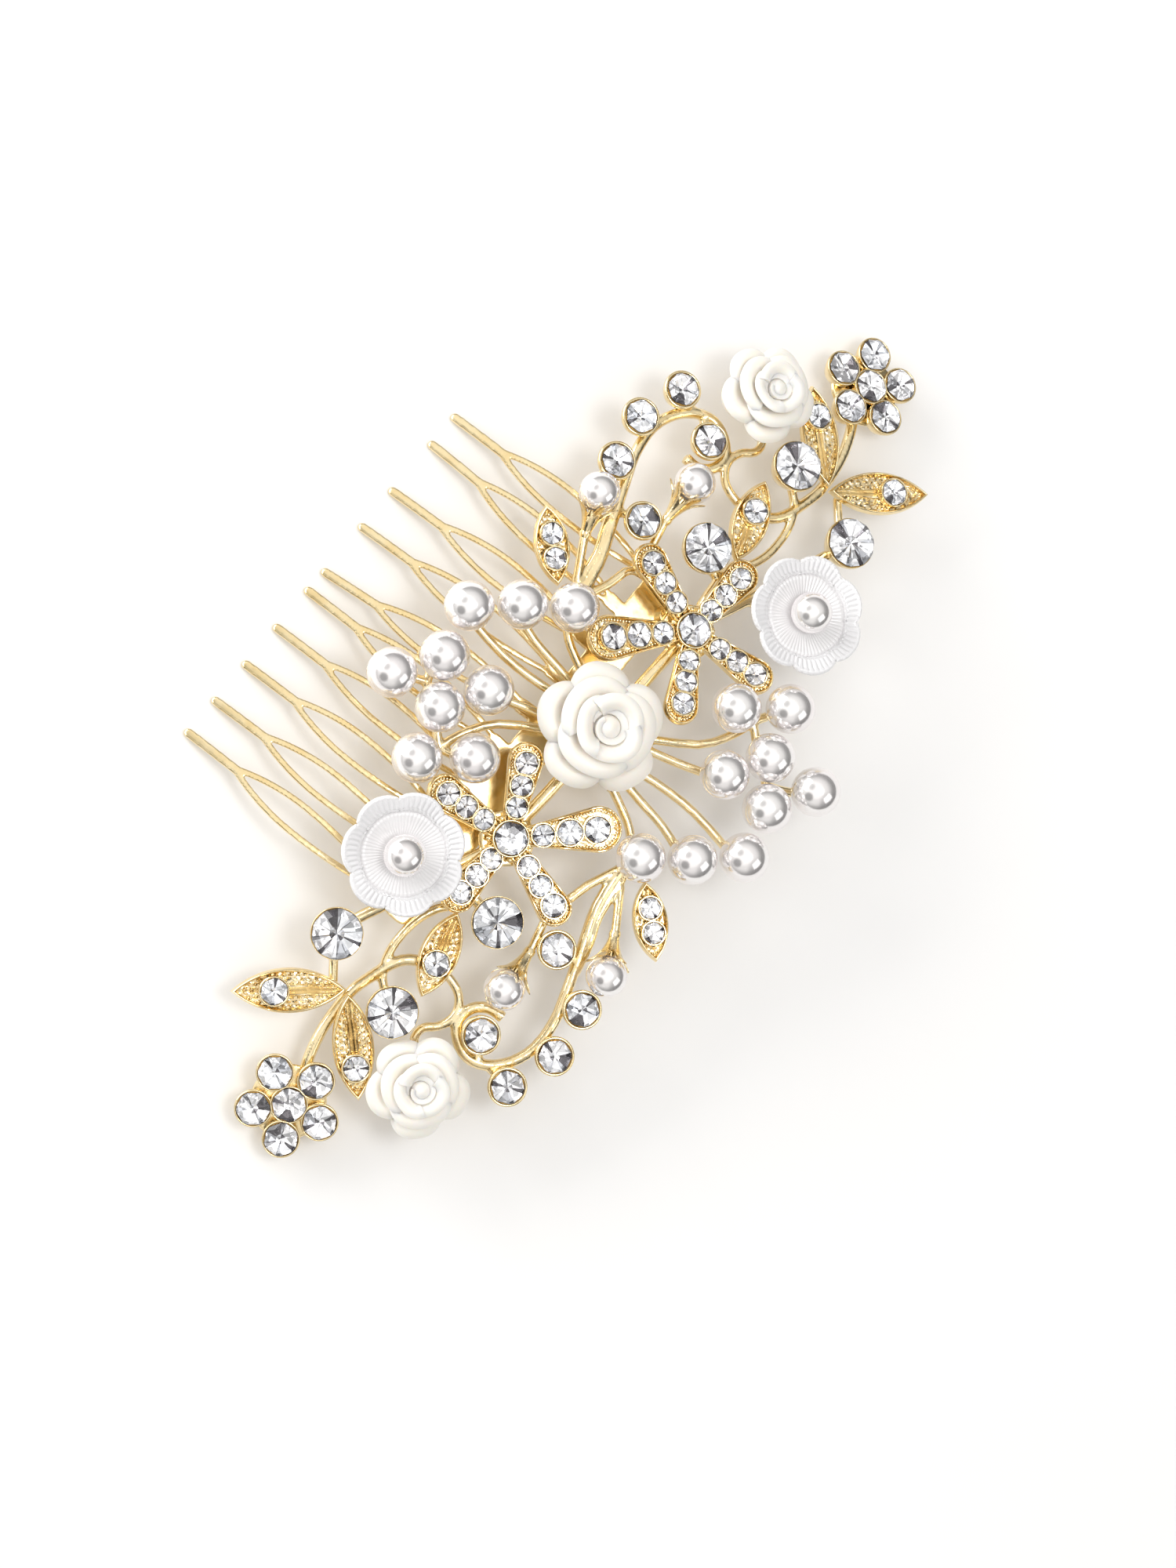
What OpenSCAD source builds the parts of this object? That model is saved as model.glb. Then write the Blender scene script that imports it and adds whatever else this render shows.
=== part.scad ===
// Bridal side comb: one spray of leaves, stones, flowers and pearls, twice, turned by 180 degrees
// round a resin rose and soldered to a stamped ten-tooth comb.
// It lies face up: +X runs along the ornament, the teeth point to +Y and +Z is up.

/* [Ornament] */
// Radius that the ornament is bent to along its length
bend_r = 240; // [230:5:300]
// Thickness of the main vine
vine_d = 1.5; // [1.2:0.1:1.8]
// Thickness of the thin links and pearl stems
stem_d = 1.2; // [1:0.1:1.4]

/* [Comb] */
// Number of teeth
teeth = 10; // [6:1:10]
// Distance from one tooth to the next
tooth_pitch = 5.6; // [5.2:0.1:6]
// Length of a tooth, seen from above
tooth_reach = 30; // [24:1:34]
// Greatest width of a tooth
tooth_w = 4.1; // [3.6:0.1:4.4]
// Width of each of a tooth's two legs
leg_w = 0.75; // [0.6:0.05:1]
// Width of the band that joins the teeth
spine_w = 5; // [5:0.5:7]
// Thickness of the sheet
sheet_t = 0.7; // [0.5:0.1:1]
// How far the tips curve down below the band
tip_drop = 6.1; // [4:0.1:8]

/* [Pearls] */
// Diameter of a spray pearl
pearl_d = 6; // [5:0.1:6]
// Diameter of a bud pearl
bud_d = 5; // [4:0.1:5.2]
// Diameter of the pearl in a shell flower
shell_pearl_d = 5; // [4:0.1:5.5]
// Diameter of the blind hole that a pearl is glued on by
pearl_bore_d = 1; // [0.8:0.1:1.2]

/* [Stones] */
// Diameter of a large stone
large_stone_d = 6; // [5:0.1:6.2]
// Diameter of a vine stone, a cluster stone and a flower's middle stone
small_stone_d = 4; // [3.6:0.1:4.2]

/* [Roses] */
// Diameter of the middle rose
rose_d = 15.5; // [13:0.5:16]
// Height of the middle rose
rose_h = 7.6; // [6:0.2:9]
// Diameter of an end rose
end_rose_d = 12; // [10:0.5:12]
// Height of an end rose
end_rose_h = 5.8; // [4:0.2:7]

/* [Shell flowers] */
// Number of lobes round the rim
shell_lobes = 7; // [5:1:9]
// Diameter over the lobes
shell_d = 14.6; // [12:0.2:15]

/* [Hidden] */
gold = "#E2B75F";
ivory = "#F8F1E2";
pearl_white = "#F4EEF1";
crystal = "#D9E2EA";
shell_white = "#F3F1F0";

// Height of the ornament's underside over the band and over the ground, at its middle
joint_gap = 2.1;
lift = tip_drop + sheet_t + joint_gap;
// Half the difference between the tooth side and the other side, which centres the box
centre_y = 6.2;

// Middle, turn and height of the comb's band
comb_at = [-6, 4.2];
comb_turn = 4.8;
// How far each tooth is bent sideways at its tip
tooth_lean = [0, -0.6, -0.5, -0.3, 0, -2.6, -1, -0.8, 1.2, 0];
tip_w = 1.1;
root_w = 1.9;
root_gap = 1;
blade = 7.5;
widest_at = 13.5;
// What the band reaches past its end teeth, and its corner radius
band_end = 0.8;
band_corner_r = 2;
// How far shapes of one outline run into each other, and a width that spans the whole comb
lap = 2;
comb_span = 80;

// Settings: rim round a stone, and the stone's own proportions
cup_wall = 0.3;
pavilion_k = 0.4;
girdle_k = 0.05;
crown_k = 0.17;
table_k = 0.56;
cup_foot = 0.3;
// How far from a vine stone's middle its link stops, which is in the wall of its cup
cup_reach = 1.4;
small_girdle = 2.5;
large_girdle = 4.2;
large_foot = 1.2;
plate_t = 1;
plate_bed = 0.35;
plate_rim = 0.5;
plate_girdle = 1.35;
plate_h = 1.4;
rib_w = 0.6;
rib_margin = 1;
drop_root_r = 1.3;
petal_margin = 0.3;
petal_bed_start = 0.4;
cup_foot_k = 0.36;
culet_k = 0.05;
bore_play = 0.05;

// Seat, pin and height of the middle rose, and thickness of a moulded petal
seat_r = 5.2;
seat_t = 0.8;
pin_d = 2;
pin_h = 3;
rose_z = 1.5;
petal_t = 0.9;

// Pads under what is glued or soldered on, and the solder between band and ornament
pad_r = 3.4;
hub_pad_z = 0.2;
hub_pad_t = 1.2;
rose_pad_z = 0.5;
rose_pad_t = 1.1;
solder_r = 1.5;
solder_top_r = 1.2;
solder_y = [3, 3.6, 1];

// Places on half A, as [x, y]; half B is half A turned by 180 degrees
pearls = [
    [-1.5, 22.4], [3.2, 18], [7.5, 13.3],
    [-7.6, 20.3], [-13.4, 23.3], [-6.7, 13.7],
    [-12.2, 16.4], [-18.2, 14.1], [-13.4, 9.2]
];
pearl_h = 4.6;
pearl_pin_h = 2.2;
// Dished cup under a pearl, as [height, thickness, radius] of its foot and of its rim
dish_foot = [0.7, 0.2, 0.6];
dish_rim = [1.9, 0.3, 1.7];
vine_stones = [[37.1, 21.8], [30.7, 23.2], [24.6, 21.6], [21.8, 14.3], [35.1, 15.1]];
vine_links = [[37, 18.6], [31.5, 21.2], [25.6, 19.6], [21, 17.2], [37.2, 17.2]];
large_stones = [[38.7, -5.9], [40.5, 5.4], [24.7, 6.6]];
end_rose_at = [44.3, 14];
middle_rose_at = [-0.4, 0.9];
shell_at = [27.2, -7.4];
shell_h = 4.4;
shell_t = 0.8;
shell_flat_r = 1.4;
shell_well_r = 2.4;
shell_rise = 1.5;
shell_rim_t = 0.6;
shell_collar_r = 1.3;
shell_collar_z = 3;
shell_pin_h = 4;
cluster_at = [56.3, 5];
cluster_r = 4.2;
cluster_turn = 33;
cluster_web_t = 0.8;
butterfly_at = [16.7, 0.8];
butterfly_h = 1.4;
hub_girdle = 3.3;
petal_tilt = 5;

// Buds: foot of the calyx and middle of the pearl, as [x, y, height]
buds = [
    [[15.3, 18, 1.6], [19.9, 20.6, 3.3]],
    [[24, 12.2, 1.6], [29.5, 13, 3.3]]
];

// Calyx: radius at its foot and mouth, and the notches between its sepals
calyx_foot_r = 0.55;
calyx_mouth_r = 2.5;
calyx_back = 1.4;
sepals = 4;
notch_r = 1.2;
notch_at = 2.9;
notch_h = 3;
bud_pin_back = 0.6;
bud_bore_from = 0.4;

// Leaves: base, tip, width and the stones, each as [distance from the base, diameter]
leaves = [
    [[42.4, 0], [52.2, -9.5], 5.4, [[8.6, 3.2]]],
    [[42.6, 0.4], [50.6, 10.5], 5, [[8.9, 3]]],
    [[27, 2.7], [37.1, 6.8], 4.8, [[6.6, 3]]],
    [[8.6, 16.2], [14.4, 24], 4.4, [[3.2, 2.6], [6.2, 2.6]]]
];

// Petals: direction, end radius and the stones, each as [distance from the middle, diameter]
petals = [
    [141, 2.8, [[4.1, 2.6], [7.3, 3], [10.6, 3.1]]],
    [78, 2.2, [[4.1, 2.5], [6.8, 2.6], [9.6, 2.8]]],
    [1.5, 2.2, [[3.5, 2.5], [6.1, 2.6], [8.9, 2.6]]],
    [-79.5, 2.2, [[4.1, 2.5], [6.7, 2.6], [9.4, 2.7]]],
    [-146, 2.2, [[3.9, 2.5], [6.5, 2.6], [9.2, 2.7]]]
];

// Height of a wire's middle over the ornament's underside, and routes on half A, as [x, y, height]
wire_z = 0.8;
main_vine = [
    [9.2, 13.2, 0.8], [14.5, 14.3, 0.8], [19.3, 16.6, 0.8], [24.7, 19.2, 0.8],
    [27.8, 20.5, 0.8], [31.5, 21.1, 0.8], [34.7, 20.3, 0.8], [37, 18.5, 0.8],
    [38, 16.2, 0.8], [37.4, 13.8, 0.8], [35.8, 12.2, 0.8], [33.7, 12.3, 0.8],
    [32.2, 13.7, 0.9], [31.8, 15.7, 1.2]
];
side_vine = [[10, 14.2, 0.8], [15.3, 15.4, 0.8], [18.3, 16.9, 0.8], [22, 18.2, 0.8]];
cluster_stem = [
    [33.4, 5, 0.8], [34.9, 2.8, 0.8], [36.8, 1.7, 0.8], [39.4, 1.1, 0.8],
    [42, 0.7, 0.8], [45.1, 1, 0.8], [48.2, 1.7, 0.8], [51.3, 3, 0.7], [53.4, 4.4, 0.6]
];
outer_wire = [
    [23.2, 2.3, 0.7], [26, 2.4, 0.8], [28.4, 0.9, 0.8], [31.2, 0.1, 0.8],
    [34.4, 0.2, 0.8], [36.8, 0.9, 0.8], [38.4, 2, 0.8], [39.4, 3.4, 0.9], [40.4, 5.2, 1]
];
rose_loop = [
    [33.4, 5, 0.8], [33, 7.4, 0.8], [33.4, 9.6, 0.8], [34.6, 11, 0.8], [36.2, 11.5, 0.8],
    [37.9, 11, 0.8], [39.2, 9.9, 0.8], [40.8, 10, 0.8], [42.6, 12, 0.8], [44.3, 14, 0.8]
];
stone_rod = [
    [18.8, 0.4, 0.8], [25, -1.8, 0.9], [31.8, -3.7, 1], [35, -4.8, 1], [38.7, -5.9, 1]
];
backbone = [[3, 0.2, 0.9], [9, 0.5, 0.9], [16.7, 0.8, 0.8], [21, 1.8, 0.8], [25, 2.3, 0.8]];
side_strut = [
    [9.4, 13.2, 0.8], [13.6, 11.8, 0.8], [17.2, 10.8, 0.8], [17.6, 6, 0.8], [16.7, 0.8, 0.8]
];
bud_stems = [[11, 14.8, 0.8], [18.4, 10.4, 0.8]];

// Straight links on half A, as their two ends: thin ones, then ones as thick as the vine
stem_links = [
    [[43, -1.6, 1], [38.7, -5.9, 1.1]],
    [[25, -1.8, 0.9], [27.2, -7.4, 0.9]],
    [[27.2, -7.4, 0.9], [27.2, -7.4, 3.6]]
];
vine_branches = [
    [[24.4, 2.6, 0.8], [24.7, 6.6, 1]],
    [[42.4, 12.2, 0.8], [43.6, 15.6, 0.8]]
];

// Stems of the pearls on half A, as [x, y, height]
pearl_stems = [
    [[0.6, 3.5, 0.8], [-0.9, 9, 0.8], [-1.8, 15, 0.8], [-1.5, 22.4, 0.8]],
    [[1.6, 3.5, 0.8], [2, 9, 0.8], [2.2, 13.5, 0.8], [3.2, 18, 0.8]],
    [[2.6, 3.2, 0.8], [4, 7.4, 0.8], [5.3, 10.6, 0.8], [7.5, 13.3, 0.8]],
    [[-3, 3.4, 0.8], [-8, 9.6, 0.8], [-12.2, 11.9, 0.8], [-15, 12.6, 0.8], [-18.2, 14.1, 0.8]],
    [[-15, 12.6, 0.8], [-14.5, 11, 0.8], [-13.4, 9.2, 0.8]],
    [[-15, 12.6, 0.8], [-12.2, 16.4, 0.8], [-10.6, 19.1, 0.8], [-7.6, 20.3, 0.8]],
    [[-10.6, 19.1, 0.8], [-11.8, 21.2, 0.8], [-13.4, 23.3, 0.8]],
    [[-2.2, 3.6, 0.8], [-4.4, 9, 0.8], [-6.7, 13.7, 0.8]],
    [[7.5, 13.3, 0.8], [9.2, 13.6, 0.8], [10.4, 14.4, 0.8]],
    [[-4.6, 5.2, 0.6], [-2.4, 5, 0.3], [2.3, 5.2, 0.3], [3.7, 5.9, 0.6]]
];

$fn = 32;

// ---------- Placing ----------

// Puts its children in the row's frame, on half "a", on half "b" or in the middle
module place(side = "a") {
    translate([0, -centre_y, lift])
        rotate([0, 0, side == "b" ? 180 : 0])
            children();
}

// Stands its children square on the bent sheet that the ornament follows
module on_arc(at, h = 0) {
    translate([at.x, at.y, -at.x * at.x / (2 * bend_r)])
        rotate([0, atan(at.x / bend_r), 0])
            translate([0, 0, h])
                children();
}

function arc_point(p) = let (lean = atan(p.x / bend_r))
    [p.x + p.z * sin(lean), p.y, p.z * cos(lean) - p.x * p.x / (2 * bend_r)];

// Turns +Z to point from one place to the other, with its children at the first
module aimed(from, to) {
    v = to - from;
    translate(from)
        rotate([0, acos(v.z / norm(v)), atan2(v.y, v.x)])
            children();
}

// ---------- Wires ----------

function between(a, b, c, d, t) = 0.5 * (2 * b + (c - a) * t
    + (2 * a - 5 * b + 4 * c - d) * t * t + (3 * b - a - 3 * c + d) * t * t * t);

function smooth(route, steps) = let (last = len(route) - 1) [
    for (i = [0:last - 1], k = [0:steps - 1])
        between(route[max(i - 1, 0)], route[i], route[i + 1], route[min(i + 2, last)], k / steps),
    route[last]
];

function unit(v) = v / norm(v);

// The point that lies a distance short of the end of a line
function short_of(from, to, gap) = to - gap * unit(to - from);

// A round wire swept along a route on the bent sheet
module wire(route, d, steps = 3, sides = 8) {
    path = [for (p = smooth(route, steps)) arc_point(p)];
    last = len(path) - 1;
    rings = [for (i = [0:last])
        let (along = unit(path[min(i + 1, last)] - path[max(i - 1, 0)]))
        let (across = unit(cross(along, [0, 0, 1])))
        let (over = cross(across, along))
        for (k = [0:sides - 1])
            path[i] + d / 2 * (cos(360 * k / sides) * across + sin(360 * k / sides) * over)];
    walls = [for (i = [0:last - 1], k = [0:sides - 1])
        [i * sides + k, i * sides + (k + 1) % sides,
         (i + 1) * sides + (k + 1) % sides, (i + 1) * sides + k]];
    start_cap = [for (k = [0:sides - 1]) sides - 1 - k];
    end_cap = [for (k = [0:sides - 1]) last * sides + k];
    polyhedron(rings, concat([start_cap], walls, [end_cap]), convexity = 6);
}

// A straight link with round ends
module link(from, to, d) {
    hull() {
        translate(arc_point(from)) sphere(d = d, $fn = 8);
        translate(arc_point(to)) sphere(d = d, $fn = 8);
    }
}

// ---------- Stones and their settings ----------

// A round cut stone whose girdle stands on z = 0
module stone(d) {
    translate([0, 0, -pavilion_k * d])
        cylinder(h = pavilion_k * d, r1 = culet_k * d, r2 = d / 2);
    cylinder(h = girdle_k * d, d = d);
    translate([0, 0, girdle_k * d])
        cylinder(h = crown_k * d, r1 = d / 2, r2 = table_k * d / 2);
}

// The pocket that a stone sits in
module pocket(d) {
    translate([0, 0, -pavilion_k * d])
        cylinder(h = pavilion_k * d, r1 = culet_k * d, r2 = d / 2);
    cylinder(h = d, d = d);
}

// A round cup before its pocket is cut, from the foot up to just over the girdle, which is z = 0
module cup_blank(d, foot_z) {
    translate([0, 0, foot_z])
        cylinder(h = girdle_k * d - foot_z, r1 = cup_foot_k * d, r2 = d / 2 + cup_wall);
}

module cup(d, foot_z) {
    difference() {
        cup_blank(d, foot_z);
        pocket(d);
    }
}

// ---------- Leaves and petals ----------

// The overlap of two circles, from the origin to a point on +X, inset all round
module leaf_outline(length, width, inset = 0) {
    r = (length * length + width * width) / (4 * width);
    intersection() {
        translate([length / 2, r - width / 2]) circle(r - inset, $fn = 96);
        translate([length / 2, width / 2 - r]) circle(r - inset, $fn = 96);
    }
}

// A drop: a round end of radius r at a distance, drawn in to a narrow round end
module drop_outline(reach, r, narrow, inset = 0) {
    turn = acos((narrow - r) / reach);
    translate([reach, 0]) circle(r - inset);
    circle(narrow - inset);
    polygon([
        (narrow - inset) * [cos(turn), sin(turn)],
        (narrow - inset) * [cos(turn), -sin(turn)],
        [reach, 0] + (r - inset) * [cos(turn), -sin(turn)],
        [reach, 0] + (r - inset) * [cos(turn), sin(turn)]
    ]);
}

// A plate with a raised rim, a sunk bed and collars that hold the stones
module plate(stones) {
    difference() {
        union() {
            linear_extrude(plate_t - plate_bed) children(0);
            linear_extrude(plate_t) difference() {
                children(0);
                children(1);
            }
            for (s = stones)
                translate([s[0], 0, 0])
                    cylinder(h = plate_girdle + 0.1, r = s[1] / 2 + cup_wall / 2);
        }
        for (s = stones)
            translate([s[0], 0, plate_girdle]) pocket(s[1]);
    }
}

module leaf(length, width, stones) {
    rib_l = stones[0][0] - stones[0][1] / 2 - rib_margin;
    bed = plate_t - plate_bed;
    bite = 0.1;
    plate(stones) {
        leaf_outline(length, width);
        leaf_outline(length, width, plate_rim);
    }
    translate([rib_margin, -rib_w / 2, bed - bite]) cube([rib_l, rib_w, plate_bed + bite]);
}

module at_leaf(leaf) {
    v = leaf[1] - leaf[0];
    on_arc(leaf[0], plate_h)
        rotate([0, 0, atan2(v.y, v.x)])
            children();
}

module at_petal(petal) {
    on_arc(butterfly_at, butterfly_h)
        rotate([0, -petal_tilt, petal[0]])
            children();
}

// ---------- Roses and shell flowers ----------

// One ring of a rose's petals: a flared bowl from low to high, cut to five lobes
module rose_petals(d, low, high, turn) {
    lobe_r = 0.21 * d;
    throat_r = 0.3 * d;
    intersection() {
        rotate_extrude() polygon([
            [0, low], [throat_r, low], [d / 2, high - petal_t], [d / 2, high],
            [throat_r, low + 2 * petal_t], [0, low + 2 * petal_t]
        ]);
        linear_extrude(high + petal_t) {
            circle(0.36 * d);
            for (i = [0:4])
                rotate([0, 0, 72 * i + turn])
                    translate([d / 2 - lobe_r, 0]) circle(lobe_r);
        }
    }
}

// A moulded rose: five spread petals, five steeper ones and a rolled heart
module rose(d, h) {
    rose_petals(d, 0, 0.42 * h, 0);
    rose_petals(0.74 * d, 0.22 * h, 0.76 * h, 36);
    difference() {
        translate([0, 0, 0.1 * h]) cylinder(h = 0.82 * h, r1 = 0.3 * d, r2 = 0.2 * d);
        translate([0, 0, 0.6 * h]) cylinder(h = 0.4 * h, r1 = 0.1 * d, r2 = 0.18 * d);
    }
    translate([0, 0, 0.5 * h]) cylinder(h = 0.5 * h, r1 = 0.11 * d, r2 = 0.07 * d);
}

// A thin scalloped dish with a hole for the pin through its middle
module shell_flower() {
    lobe_r = 0.2 * shell_d;
    rim_r = shell_d / 2;
    intersection() {
        rotate_extrude() polygon([
            [pearl_bore_d / 2, 0], [shell_flat_r, 0],
            [rim_r, shell_rise], [rim_r, shell_rise + shell_rim_t],
            [shell_well_r, shell_t + 0.1], [pearl_bore_d / 2, shell_t]
        ]);
        linear_extrude(2 * shell_rise) {
            circle(0.34 * shell_d);
            for (i = [0:shell_lobes - 1])
                rotate([0, 0, 360 * i / shell_lobes])
                    translate([rim_r - lobe_r, 0]) circle(lobe_r);
        }
    }
}

// ---------- Comb ----------

// One side's outline of a tooth, narrowing from its widest point over a length
module half_lens(length, width, inset) {
    w = width / 2 - tip_w / 2;
    r = (length * length + w * w) / (2 * w);
    intersection() {
        translate([r - width / 2, 0]) circle(r - inset, $fn = 96);
        translate([width / 2 - r, 0]) circle(r - inset, $fn = 96);
        translate([-width, 0]) square([2 * width, 1.6 * length]);
    }
}

// A tooth standing on the band's edge: narrow root, long eye, round-tipped blade
module tooth_outline() {
    eye_end = tooth_reach - blade;
    difference() {
        union() {
            translate([0, widest_at]) half_lens(eye_end - widest_at, tooth_w, 0);
            translate([0, widest_at]) mirror([0, 1]) half_lens(widest_at - root_gap, tooth_w, 0);
            translate([-tip_w / 2, eye_end - lap]) square([tip_w, blade + lap - tip_w / 2]);
            translate([0, tooth_reach - tip_w / 2]) circle(tip_w / 2);
            translate([-root_w / 2, -lap / 2]) square([root_w, root_gap + lap]);
        }
        translate([0, widest_at]) half_lens(eye_end - widest_at, tooth_w, leg_w);
        translate([0, widest_at]) mirror([0, 1]) half_lens(widest_at - root_gap, tooth_w, leg_w);
    }
}

module comb_outline() {
    comb_w = (teeth - 1) * tooth_pitch + root_w + 2 * band_end;
    r = band_corner_r;
    translate([-comb_w / 2, -spine_w / 2 + r]) square([comb_w, spine_w - 2 * r]);
    translate([-comb_w / 2 + r, -spine_w / 2]) square([comb_w - 2 * r, spine_w]);
    for (sx = [-1, 1], sy = [-1, 1])
        translate([sx * (comb_w / 2 - r), sy * (spine_w / 2 - r)]) circle(r);
    for (i = [0:teeth - 1])
        translate([(i - (teeth - 1) / 2) * tooth_pitch, spine_w / 2])
            rotate([0, 0, -atan(tooth_lean[i] / tooth_reach)])
                tooth_outline();
}

// The bent sheet: flat under the band, then curving down along the teeth
module comb_sheet() {
    r = (tooth_reach * tooth_reach + tip_drop * tip_drop) / (2 * tip_drop);
    reach = tooth_reach + lap;
    rotate([90, 0, 90])
        translate([0, 0, -comb_span / 2])
            linear_extrude(comb_span) {
                translate([-spine_w, 0]) square([1.5 * spine_w, sheet_t]);
                intersection() {
                    translate([spine_w / 2, -r]) difference() {
                        circle(r + sheet_t, $fn = 96);
                        circle(r, $fn = 96);
                    }
                    translate([spine_w / 2, -2 * tip_drop])
                        square([reach, 2 * tip_drop + sheet_t]);
                }
            }
}

module comb_base() {
    color(gold)
        translate([comb_at.x, comb_at.y - centre_y, tip_drop])
            rotate([0, 0, comb_turn])
                intersection() {
                    comb_sheet();
                    translate([0, 0, -2 * tip_drop]) linear_extrude(3 * tip_drop) comb_outline();
                }
}

// Three solder pads between the band and the ornament's underside
module solder_joints() {
    hub_x = butterfly_at.x;
    hub_gap = joint_gap + hub_pad_z - hub_x * hub_x / (2 * bend_r);
    xs = [0, hub_x, -hub_x];
    gaps = [joint_gap - seat_t, hub_gap, hub_gap];
    color(gold)
        for (i = [0:2])
            translate([xs[i], solder_y[i] - centre_y, tip_drop + sheet_t])
                cylinder(h = gaps[i], r1 = solder_r, r2 = solder_top_r);
}

// ---------- Middle ----------

// The round seat that the sprays run out from, with a pin for the rose
module central_seat() {
    color(gold) place() {
        translate([0, 0, -seat_t]) cylinder(h = seat_t, r = seat_r);
        translate([middle_rose_at.x, middle_rose_at.y, 0]) cylinder(h = pin_h, d = pin_d);
    }
}

module rose_center() {
    color(ivory) place()
        translate([middle_rose_at.x, middle_rose_at.y, rose_z]) difference() {
            rose(rose_d, rose_h);
            translate([0, 0, -rose_z]) cylinder(h = pin_h, d = pin_d + 2 * bore_play);
        }
}

module rose_end(side) {
    color(ivory) place(side)
        on_arc(end_rose_at, rose_pad_z + rose_pad_t) rose(end_rose_d, end_rose_h);
}

// ---------- Halves ----------

// The cast vine: main curl, side vine, stems, pads and the pin of the shell flower
module vine_frame(side) {
    color(gold) place(side) {
        wire(backbone, vine_d + 0.2);
        wire(main_vine, vine_d);
        wire(side_vine, stem_d);
        wire(side_strut, stem_d);
        wire(cluster_stem, vine_d);
        wire(outer_wire, stem_d);
        wire(rose_loop, stem_d);
        wire(stone_rod, vine_d);
        for (i = [0:len(vine_stones) - 1])
            link(concat(vine_links[i], wire_z),
                 concat(short_of(vine_links[i], vine_stones[i], cup_reach), wire_z), stem_d);
        for (i = [0:len(buds) - 1]) link(bud_stems[i], buds[i][0], stem_d);
        for (pair = stem_links) link(pair[0], pair[1], stem_d);
        for (pair = vine_branches) link(pair[0], pair[1], vine_d);
        on_arc(shell_at, shell_collar_z) {
            cylinder(h = shell_h - shell_collar_z, r = shell_collar_r, $fn = 16);
            cylinder(h = shell_pin_h, d = pearl_bore_d - 2 * bore_play, $fn = 16);
        }
        on_arc(end_rose_at, rose_pad_z) cylinder(h = rose_pad_t, r = pad_r, $fn = 20);
        on_arc(butterfly_at, hub_pad_z) cylinder(h = hub_pad_t, r = pad_r, $fn = 20);
    }
}

// The stems of nine pearls, each with a dished cup and a pin
module pearl_spray(side) {
    color(gold) place(side) {
        for (route = pearl_stems) wire(route, stem_d);
        for (at = pearls) {
            on_arc(at, pearl_h - pearl_d / 2)
                cylinder(h = pearl_pin_h, d = pearl_bore_d - 2 * bore_play, $fn = 8);
            difference() {
                hull()
                    for (disc = [dish_foot, dish_rim])
                        on_arc(at, disc[0]) cylinder(h = disc[1], r = disc[2], $fn = 12);
                on_arc(at, pearl_h) sphere(d = pearl_d, $fn = 16);
            }
        }
    }
}

// Five small cups along the vine and three large ones
module stone_cups(side) {
    color(gold) place(side) {
        for (at = vine_stones)
            on_arc(at, small_girdle) cup(small_stone_d, cup_foot - small_girdle);
        for (at = large_stones)
            on_arc(at, large_girdle) cup(large_stone_d, large_foot - large_girdle);
    }
}

// The flared calyx of each bud, cut into four sepals, with a pin for the pearl
module bud_cups(side) {
    color(gold) place(side)
        for (bud = buds) {
            foot = arc_point(bud[0]);
            middle = arc_point(bud[1]);
            reach = norm(middle - foot);
            aimed(foot, middle) {
                difference() {
                    cylinder(h = reach - calyx_back, r1 = calyx_foot_r, r2 = calyx_mouth_r);
                    translate([0, 0, reach]) sphere(d = bud_d);
                    for (i = [0:sepals - 1])
                        rotate([0, 0, (i + 0.5) * 360 / sepals])
                            translate([notch_at, 0, reach - bud_d / 2])
                                cylinder(h = notch_h, r = notch_r);
                }
                cylinder(h = reach - bud_pin_back, d = pearl_bore_d - 2 * bore_play);
            }
        }
}

module leaf_set(side) {
    color(gold) place(side)
        for (leaf = leaves)
            at_leaf(leaf) leaf(norm(leaf[1] - leaf[0]), leaf[2], leaf[3]);
}

// Five stone-set petals round a cup
module butterfly_flower(side) {
    color(gold) place(side) difference() {
        union() {
            for (petal = petals) {
                reach = petal[2][2][0] + petal_margin;
                bed = reach - petal_bed_start;
                at_petal(petal) plate(petal[2]) {
                    drop_outline(reach, petal[1], drop_root_r);
                    translate([petal_bed_start, 0])
                        drop_outline(bed, petal[1], drop_root_r, plate_rim);
                }
            }
            on_arc(butterfly_at, hub_girdle) cup_blank(small_stone_d, butterfly_h - hub_girdle);
        }
        on_arc(butterfly_at, hub_girdle) pocket(small_stone_d);
    }
}

function cluster_places() = [
    [0, 0], for (i = [0:4]) let (turn = cluster_turn + 72 * i)
        cluster_r * [cos(turn), sin(turn)]
];

// Six cups joined side by side
module cluster_flower(side) {
    color(gold) place(side) on_arc(cluster_at) {
        for (at = cluster_places())
            translate([at.x, at.y, small_girdle]) cup(small_stone_d, cup_foot - small_girdle);
        difference() {
            translate([0, 0, cup_foot]) cylinder(h = cluster_web_t, r = cluster_r);
            for (at = cluster_places())
                translate([at.x, at.y, small_girdle]) pocket(small_stone_d);
        }
    }
}

module shell_flower_at(side) {
    color(shell_white) place(side) on_arc(shell_at, shell_h) shell_flower();
}

// ---------- Pearls and stones ----------

module shell_pearl(side) {
    color(pearl_white) place(side)
        on_arc(shell_at, shell_h + shell_t + shell_pearl_d / 2) difference() {
            sphere(d = shell_pearl_d);
            translate([0, 0, -shell_pearl_d]) cylinder(h = shell_pearl_d, d = pearl_bore_d);
        }
}

module pearl(side, at) {
    color(pearl_white) place(side)
        on_arc(at, pearl_h) difference() {
            sphere(d = pearl_d);
            translate([0, 0, -pearl_d]) cylinder(h = pearl_d - bud_pin_back, d = pearl_bore_d);
        }
}

module bud_pearls(side) {
    color(pearl_white) place(side)
        for (bud = buds)
            aimed(arc_point(bud[1]), arc_point(bud[0])) difference() {
                sphere(d = bud_d);
                translate([0, 0, bud_bore_from]) cylinder(h = bud_d, d = pearl_bore_d);
            }
}

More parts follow.
